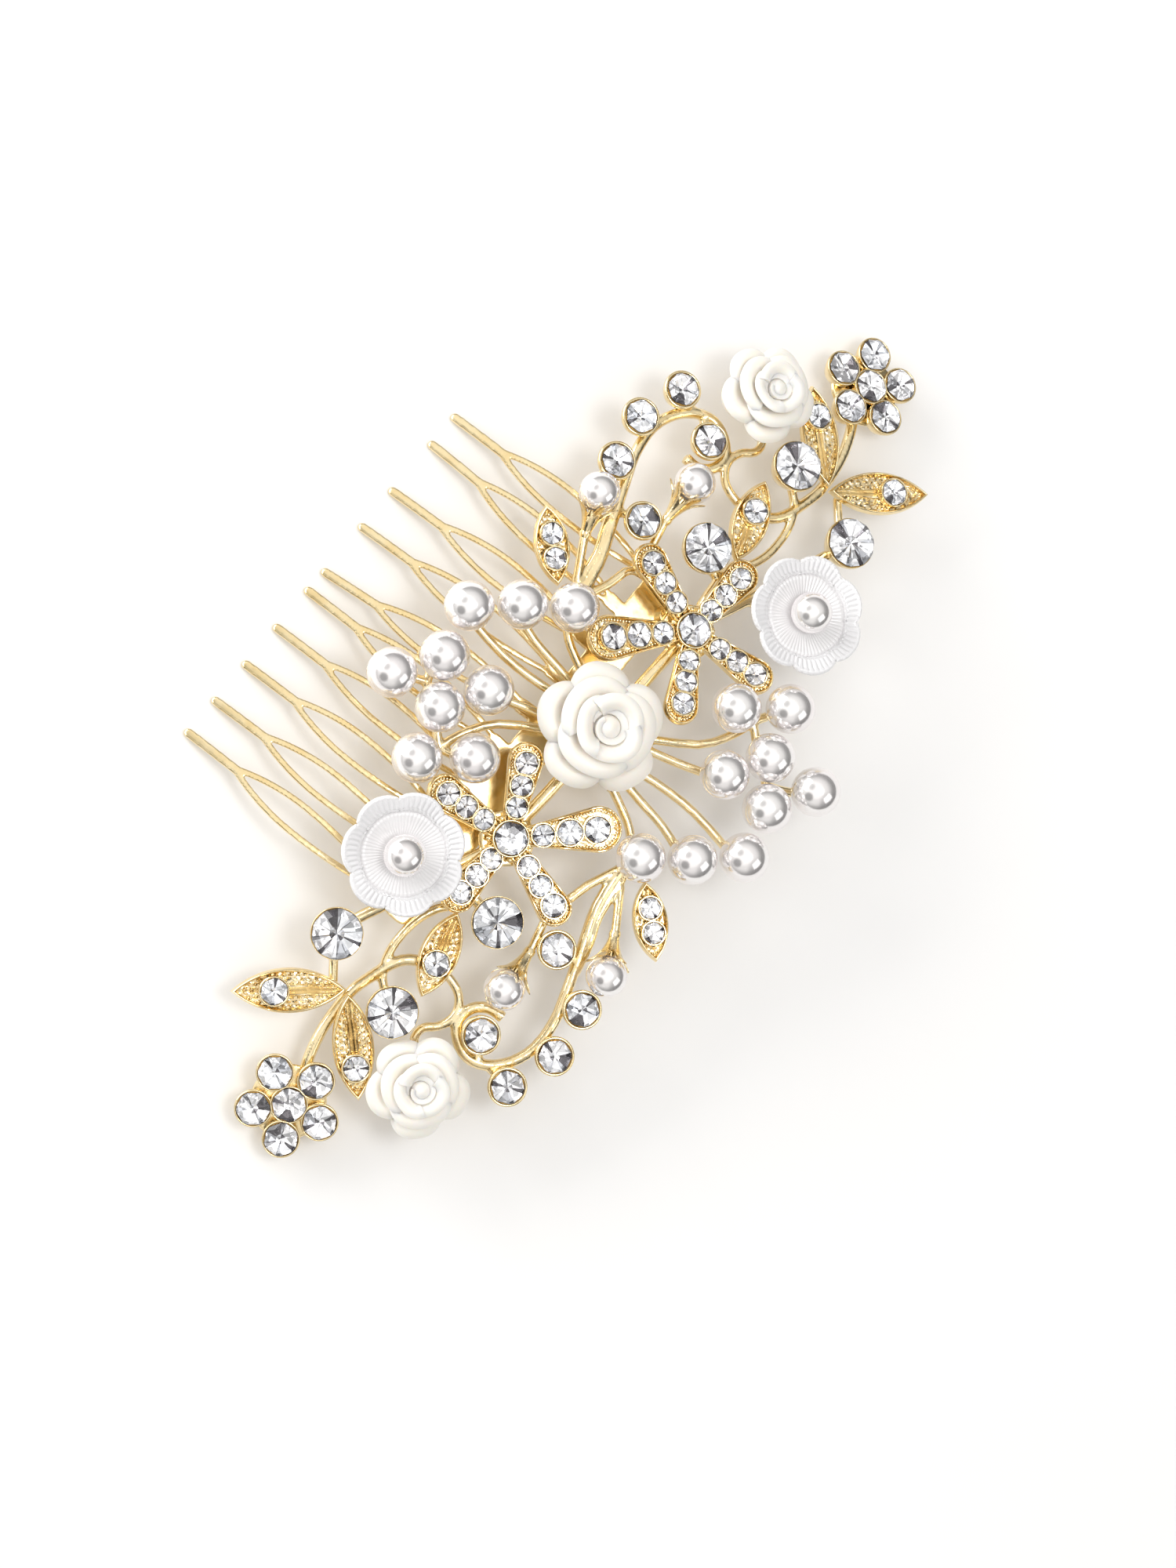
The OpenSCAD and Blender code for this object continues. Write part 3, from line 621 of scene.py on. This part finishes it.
def butterfly(side):
    """Petals, one for each row of stones that points away from the hub, round a beaded middle."""
    node = f"butterfly_flower_{side}"
    set_stones = stones(f"butterfly_stones_{side}", 6)
    hub = max(set_stones, key=lambda s: s.radius)
    petals = {}
    # Stones whose directions from the hub round to the same twelfth of a turn are in one petal
    for stone in set_stones:
        if stone is not hub:
            way = stone.foot - hub.foot
            angle = round(math.degrees(math.atan2(way.y, way.x)) / 30)
            petals.setdefault(angle, []).append(stone)
    shape = Shape()
    corners = np.concatenate(solids_of(node))
    for seed, row in enumerate(petals.values()):
        row.sort(key=lambda s: (s.foot - hub.foot).length)
        outer = row[-1]
        axis = outer.axis
        forward = (outer.foot - row[0].foot).normalized()
        side_way = axis.cross(forward)
        root = row[0].foot - forward * (row[0].radius + 0.5)
        # The CAD petal's end is its farthest corner within a box round this row of stones
        ahead = (corners - np.array(root)) @ np.array(forward)
        beside = np.abs((corners - np.array(root)) @ np.array(side_way))
        over = np.abs((corners - np.array(root)) @ np.array(axis))
        reach = (outer.foot - root).dot(forward)
        end = ahead[(beside < 3) & (over < 3)].max()
        outline = Drop(reach + END_PAST, end - reach - END_PAST, ROOT_R)
        spots = spots_of(row, root, forward, side_way)

        def relief(x, y, inset):
            lift = rim_relief(inset, PETAL_RIM, 0.5)
            lift = lift + ease(inset, PETAL_RIM, 0.55) * 0.1 * grid_noise(x, y, 2.6, seed)
            return sunk(lift, x, y, spots)

        place = laid(root - axis * 0.2, forward, side_way, axis)
        shape.add(plate(outline, relief, PETAL_RIM, 100, 45), place)
        for x, y in along_outline(outline, BEAD_INSET, BEAD_PITCH):
            shape.add(bead(BEAD_R), place @ Matrix.Translation((x, y, BEAD_Z)))
        for stone in row:
            shape.add(collar(stone), stone.at())
    shape.add(bezel(hub.radius, 0.26, PAVILION * hub.radius + 0.5), hub.at(-0.5))
    beads = 16
    for k in range(beads):
        turn = Matrix.Rotation(TURN * k / beads, 4, "Z")
        shape.add(bead(0.36, 6, 10), hub.at() @ turn @ Matrix.Translation((hub.radius + 0.55, 0, 0.9)))
    shape.piece(f"{node}_beaded", [GOLD, BED_GOLD_PAINTED_SHADE], "gold_plate", node)


# ---------- Cups ----------

# How much wider than its stone a CAD cup is, the radius from which a stone is a large one, and the
# wall and lip of small and of large cups
CUP_WALL = 0.3
LARGE_STONE = 2.5
SMALL_CUP = (0.4, 0.1)
LARGE_CUP = (0.14, -0.05)


def cups(side):
    shape = Shape()
    for points in solids_of(f"stone_cups_{side}"):
        cup = Turned(points)
        stone_radius = cup.radius - CUP_WALL
        wall, lip = SMALL_CUP if stone_radius < LARGE_STONE else LARGE_CUP
        shape.add(bezel(stone_radius, wall, cup.height - 0.1 * stone_radius, lip), cup.at())
    shape.piece(f"stone_cups_{side}_rolled", [GOLD], "gold_plate", f"stone_cups_{side}")


def cluster(side):
    """Cups joined by a round web that runs under all of them."""
    shape = Shape()
    found = stones(f"cluster_stones_{side}", 6)
    for stone in found:
        shape.add(bezel(stone.radius, 0.26, PAVILION * stone.radius + 0.6), stone.at(-0.6))
    heart = sum((s.foot for s in found), Vector()) / len(found)
    reach = max((s.foot - heart).length for s in found)
    web = [(0, 0), (reach, 0), *arc((reach, 0.35), 0.35, -90, 90, 6), (0, 0.7)]
    shape.add(lathe(web, 48, loop=False), standing(heart - found[0].axis * 0.7, found[0].axis))
    shape.piece(f"cluster_flower_{side}_rolled", [GOLD], "gold_plate", f"cluster_flower_{side}")


# ---------- Pearls ----------

def drilled_pearl(radius, bore=0.5):
    """A pearl with a drilled hole, and the hole's blind end inside."""
    start = math.degrees(math.asin(bore / radius))
    ball_profile = arc((0, 0), radius, -90 + start, 90, 40)
    return lathe([(0, -0.6 * radius), (bore, -0.6 * radius), *ball_profile], 64, loop=False)


def pearls(node):
    shape = Shape()
    for points in solids_of(node):
        middle, radius = ball(points)
        shape.add(drilled_pearl(radius), standing(middle, UP))
    shape.piece(f"{node}_lacquered", [PEARL], "pearl", node, sharp=60)


def calyx(height, root_r, mouth_r, sepals=5):
    """A flared trumpet whose edge is cut into pointed sepals that turn out at their tips."""

    def surface(u, v):
        angle = TURN * u
        point = ((1 + np.cos(sepals * angle)) / 2) ** 1.4
        high = v * (0.72 + 0.5 * point)
        flare = (mouth_r - root_r) * high ** 2 + 0.5 * ease(high, 0.8, 1.2) * point
        r = root_r + flare
        return r * np.cos(angle), r * np.sin(angle), high * height

    return sheet(surface, 100, 20, 0.28, wraps=True)


def buds(side):
    """The bud pearls and their calyxes, each of which points at its own pearl."""
    balls = [ball(points) for points in solids_of(f"bud_pearls_{side}")]
    pearls(f"bud_pearls_{side}")
    shape = Shape()
    for points in solids_of(f"bud_cups_{side}"):
        middle = Vector(points.mean(axis=0))
        pearl, radius = min(balls, key=lambda b: (b[0] - middle).length)
        axis = (pearl - middle).normalized()
        along = (points - np.array(pearl)) @ np.array(axis)
        foot = pearl + axis * along.min()
        height = -along.min() - 0.85 * radius
        shape.add(calyx(height, 0.62, 0.72 * radius), standing(foot, axis))
        core = [(0, -0.3), (0.66, -0.1), (0.74, 0.35), (0.66, 0.7), (0.5, height), (0, height + 0.3)]
        shape.add(lathe(core, 24, loop=False), standing(foot, axis))
    shape.piece(f"bud_cups_{side}_flared", [GOLD], "gold_plate", f"bud_cups_{side}")


# ---------- Roses ----------

def rose_petal(d, h, turn, half, reach, rise, curl, notch, seed):
    """One petal of a rose of diameter d and height h.

    Its middle is at the angle turn, and it spans the angle half to each side. reach and rise are its
    radius and height at root and rim, as shares of d and h. curl lowers its rim, notch its corners.
    """
    (r0, r1), (z0, z1) = reach, rise

    def surface(u, v):
        s = 2 * u - 1
        wave = 0.012 * np.sin(4 * s + seed) * v
        r = d * (r0 + (r1 - r0) * v * (1 - notch * np.abs(s) ** 2.6) + wave)
        angle = turn + half * s * (0.8 + 0.2 * np.sin(v * math.pi / 2)) * (1 + 0.08 * math.sin(seed))
        z = z0 + (z1 - z0) * np.sin(v * math.pi / 2) ** 1.1
        z = z - curl * ease(v, 0.74, 1.0) ** 1.3 - 0.55 * curl * np.abs(s) ** 3 * v + 0.04 * s
        return r * np.cos(angle), r * np.sin(angle), h * z

    return sheet(surface, 36, 26, 0.062 * d)


def rose_heart(d, h):
    """The closed bud: a sheet wound just over once round a small egg."""

    def surface(u, v):
        angle = TURN * 1.1 * u + 0.6
        r = d * (0.095 + 0.07 * u ** 0.8) * (0.84 + 0.2 * v)
        z = h * (0.42 + (0.55 - 0.1 * u) * v)
        return r * np.cos(angle), r * np.sin(angle), z

    return sheet(surface, 110, 14, 0.05 * d)


def rose(node, turn=0.0):
    solid = Turned(solids_of(node)[0])
    d, h = 2 * solid.radius, solid.height
    place = solid.at(twist=turn)
    shape = Shape()
    core = [(0, 0.0), (0.3 * d, 0.0), (0.36 * d, 0.1 * h), (0.3 * d, 0.26 * h), (0.2 * d, 0.5 * h),
            (0.17 * d, 0.72 * h), (0.12 * d, 0.8 * h), (0, 0.82 * h)]
    shape.add(lathe(core, 40, loop=False), place)
    # From the outside in: how many petals, then half, reach, rise, curl and notch, and the first's angle
    layers = (
        (5, math.radians(37), (0.16, 0.5), (0.1, 0.42), 0.14, 0.5, 0.0),
        (3, math.radians(66), (0.12, 0.375), (0.28, 0.7), 0.1, 0.3, 0.5),
        (3, math.radians(72), (0.1, 0.25), (0.42, 0.9), 0.06, 0.25, 1.4),
    )
    for number, (count, half, reach, rise, curl, notch, shift) in enumerate(layers):
        for k in range(count):
            seed = 1.7 * k + 2.3 * number
            spot = TURN * k / count + shift + 0.08 * math.sin(3 * seed)
            shape.add(rose_petal(d, h, spot, half, reach, rise, curl, notch, seed), place)
    shape.add(rose_heart(d, h), place)
    egg = [(0.105 * d * math.sin(a), h * (0.76 - 0.22 * math.cos(a))) for a in np.linspace(0, math.pi, 13)]
    shape.add(lathe(egg, 28, loop=False), place)
    shape.piece(f"{node}_moulded", [RESIN], "ivory_resin", node, sharp=50)


# ---------- Shell flowers ----------

def shell_flower(side, lobes=7, ribs=63):
    """A thin dish, pleated from its middle to its clear, scalloped and crimped rim."""
    node = f"shell_flower_{side}"
    solid = Turned(solids_of(node)[0])
    rim = solid.radius
    rim_start = 0.72

    def surface(u, v):
        angle = TURN * u
        lobe = np.abs(np.cos(lobes * angle / 2)) ** 0.5
        scallop = 0.93 + 0.07 * (2 * lobe - 1) * ease(v, 0.6, 1)
        r = 0.5 + (rim * scallop - 0.5) * v
        bowl = 0.75 + 1.5 * v ** 1.5 + 0.45 * ease(v, 0.65, 1) * (lobe - 0.6)
        groove = np.abs(np.cos(ribs * angle / 2)) ** 7
        pleat = -(0.16 + 0.2 * v) * ease(v, 0.06, 0.2) * groove
        crimp = 0.26 * ease(v, rim_start, 0.8) * np.cos(ribs * angle) * (1 - 0.5 * ease(v, 0.9, 1))
        return r * np.cos(angle), r * np.sin(angle), bowl + pleat + crimp

    shape = Shape()
    for kind, start, end, rows in ((0, 0.0, rim_start, 28), (1, rim_start - 0.01, 1.0, 18)):
        points, faces = sheet(lambda u, v: surface(u, start + (end - start) * v), 8 * ribs, rows, 0.5, True)
        shape.add((points, faces, [kind] * len(faces)), solid.at(twist=TURN / 2 / lobes))
    shape.piece(f"{node}_ribbed", [ACRYLIC, CLEAR_RIM], "clear_acrylic", node, sharp=60)


# ---------- Cast and stamped metal ----------

def cast(node, material=GOLD, voxel=0.15, passes=8):
    """Rounds a CAD node's wires or legs, by modifiers alone; voxel is in millimetres."""
    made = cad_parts[node]
    made.data.materials.clear()
    made.data.materials.append(material)
    remesh = made.modifiers.new("cast", "REMESH")
    remesh.mode = "VOXEL"
    remesh.voxel_size = voxel * MM
    remesh.use_smooth_shade = True
    smooth = made.modifiers.new("polish", "SMOOTH")
    smooth.factor = 0.5
    smooth.iterations = passes


def stamped(node, width):
    """Eases the edges of a gold CAD node by a width in millimetres, by modifiers alone."""
    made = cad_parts[node]
    made.data.materials.clear()
    made.data.materials.append(GOLD)
    weld = made.modifiers.new("weld", "WELD")
    weld.merge_threshold = 0.002 * MM
    bevel = made.modifiers.new("edges", "BEVEL")
    bevel.width = width * MM
    bevel.segments = 2
    bevel.limit_method = "ANGLE"
    bevel.angle_limit = math.radians(40)
    made.modifiers.new("shading", "WEIGHTED_NORMAL").keep_sharp = True


# ---------- The comb ----------

cast("comb_base", COMB_GOLD, 0.13, 7)
stamped("central_seat", 0.15)
stamped("solder_joints", 0.1)
rose("rose_center", 0.75)
for side in SIDES:
    cast(f"vine_frame_{side}")
    cast(f"pearl_spray_{side}")
    rose(f"rose_end_{side}", 1.4)
    leaves(side)
    butterfly(side)
    stones(f"vine_stones_{side}", 6)
    for number in (1, 2, 3):
        stones(f"large_stone_{side}{number}", 10)
    cups(side)
    cluster(side)
    buds(side)
    shell_flower(side)
    pearls(f"shell_pearl_{side}")
    for number in range(1, 10):
        pearls(f"pearl_{side}{number}")


# ---------- Studio ----------

# The camera leans from straight down, along X and along Y, and rolls, all in degrees. It stands off
# the middle seat's upper face by a shift (right, up, away). Shift, sensor and lens are in millimetres.
SEAT_THICK = 0.8
LEAN = (-13, 10)
ROLL = -44.9
SHIFT = (-1.1, -5.9, 450)
SENSOR = 36
LENS = 86.4

seat_low, seat_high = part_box("central_seat")
aim = (seat_low + seat_high) / 2
aim.z = seat_low.z + SEAT_THICK * MM
facing = Vector((math.tan(math.radians(LEAN[0])), math.tan(math.radians(LEAN[1])), 1)).normalized()
turned = UP.rotation_difference(facing).to_matrix().to_4x4() @ Matrix.Rotation(math.radians(ROLL), 4, "Z")
studio = Matrix.Translation(aim) @ turned

camera = bpy.data.objects.new("camera", bpy.data.cameras.new("camera"))
camera.data.sensor_width = SENSOR
camera.data.lens = LENS
camera.data.clip_start = 0.01
camera.matrix_world = studio @ Matrix.Translation([way * MM for way in SHIFT])
bpy.context.scene.collection.objects.link(camera)
bpy.context.scene.camera = camera


def softbox(name, direction, distance, size, radiance, shape="RECTANGLE"):
    """A soft lamp that faces the comb from a direction (right, up, towards the camera), in metres."""
    lamp = bpy.data.lights.new(name, "AREA")
    lamp.shape = shape
    lamp.size, lamp.size_y = size
    lamp.energy = radiance * math.pi * size[0] * size[1]
    made = bpy.data.objects.new(name, lamp)
    spot = studio @ (Vector(direction).normalized() * distance)
    made.matrix_world = standing(spot, (spot - aim).normalized())
    bpy.context.scene.collection.objects.link(made)


softbox("window", (-0.62, 0.53, 0.44), 0.6, (0.54, 0.36), 4.7)
softbox("round_box", (0.4, 0.02, 0.92), 0.5, (0.17, 0.17), 6.0, "ELLIPSE")
softbox("fill", (0.9, -0.5, 0.45), 0.8, (0.5, 0.4), 1.2)

# The room's light is the ceiling's, times every step's share. A step is a direction (right, up,
# towards the camera), the cosines to it between which the share comes in, and the share.
CEILING = 0.8
DIMMER_LOW_DOWN = ((0.0, 0.0, 1.0), 0.65, 0.05, 0.14)
BRIGHTER_BEHIND_CAMERA = ((-0.1, 0.1, 1.0), 0.68, 0.84, 1.35)
DARK_SHAPE_LOWER_LEFT = ((-0.56, -0.37, 0.74), 0.915, 0.97, 0.1)
GREY_SHAPE_UPPER_LEFT = ((-0.34, 0.4, 0.85), 0.95, 0.985, 0.45)
DIM_CORNER_LOWER_RIGHT = ((0.75, -0.6, 0.25), 0.7, 0.95, 0.5)
STEPS = (DIMMER_LOW_DOWN, BRIGHTER_BEHIND_CAMERA, DARK_SHAPE_LOWER_LEFT, GREY_SHAPE_UPPER_LEFT,
         DIM_CORNER_LOWER_RIGHT)

world = bpy.data.worlds.new("room")
world.use_nodes = True
bpy.context.scene.world = world
room = world.node_tree
room.nodes["Background"].inputs["Color"].default_value = (1.0, 0.99, 0.975, 1)
looking = room.nodes.new("ShaderNodeTexCoord").outputs["Generated"]
level = None
for direction, start, full, share in STEPS:
    facing_dot = room.nodes.new("ShaderNodeVectorMath")
    facing_dot.operation = "DOT_PRODUCT"
    facing_dot.inputs[1].default_value = turned.to_3x3() @ Vector(direction).normalized()
    room.links.new(looking, facing_dot.inputs[0])
    fade = room.nodes.new("ShaderNodeMapRange")
    fade.interpolation_type = "SMOOTHSTEP"
    rising = full > start
    fade.inputs["From Min"].default_value = start if rising else full
    fade.inputs["From Max"].default_value = full if rising else start
    fade.inputs["To Min"].default_value = 1.0 if rising else share
    fade.inputs["To Max"].default_value = share if rising else 1.0
    room.links.new(facing_dot.outputs["Value"], fade.inputs["Value"])
    joined = room.nodes.new("ShaderNodeMath")
    joined.operation = "MULTIPLY"
    room.links.new(fade.outputs["Result"], joined.inputs[0])
    if level is None:
        joined.inputs[1].default_value = CEILING
    else:
        room.links.new(level, joined.inputs[1])
    level = joined.outputs["Value"]
room.links.new(level, room.nodes["Background"].inputs["Strength"])

# How far the floor reaches each way, in metres
REACH = 2.0
floor_mesh = bpy.data.meshes.new("floor")
floor_mesh.from_pydata([(-REACH, -REACH, 0), (REACH, -REACH, 0), (REACH, REACH, 0), (-REACH, REACH, 0)],
                       [], [(0, 1, 2, 3)])
floor = bpy.data.objects.new("floor", floor_mesh)
floor_material, floor_tree, floor_shader = new_material("pale_floor", Roughness=0.7)
tint(floor_tree, floor_shader, noise_node(floor_tree, 0.01), (0.94, 0.935, 0.93), (0.96, 0.955, 0.95))
floor_mesh.materials.append(floor_material)
bpy.context.scene.collection.objects.link(floor)

bpy.context.scene.view_settings.view_transform = "Standard"
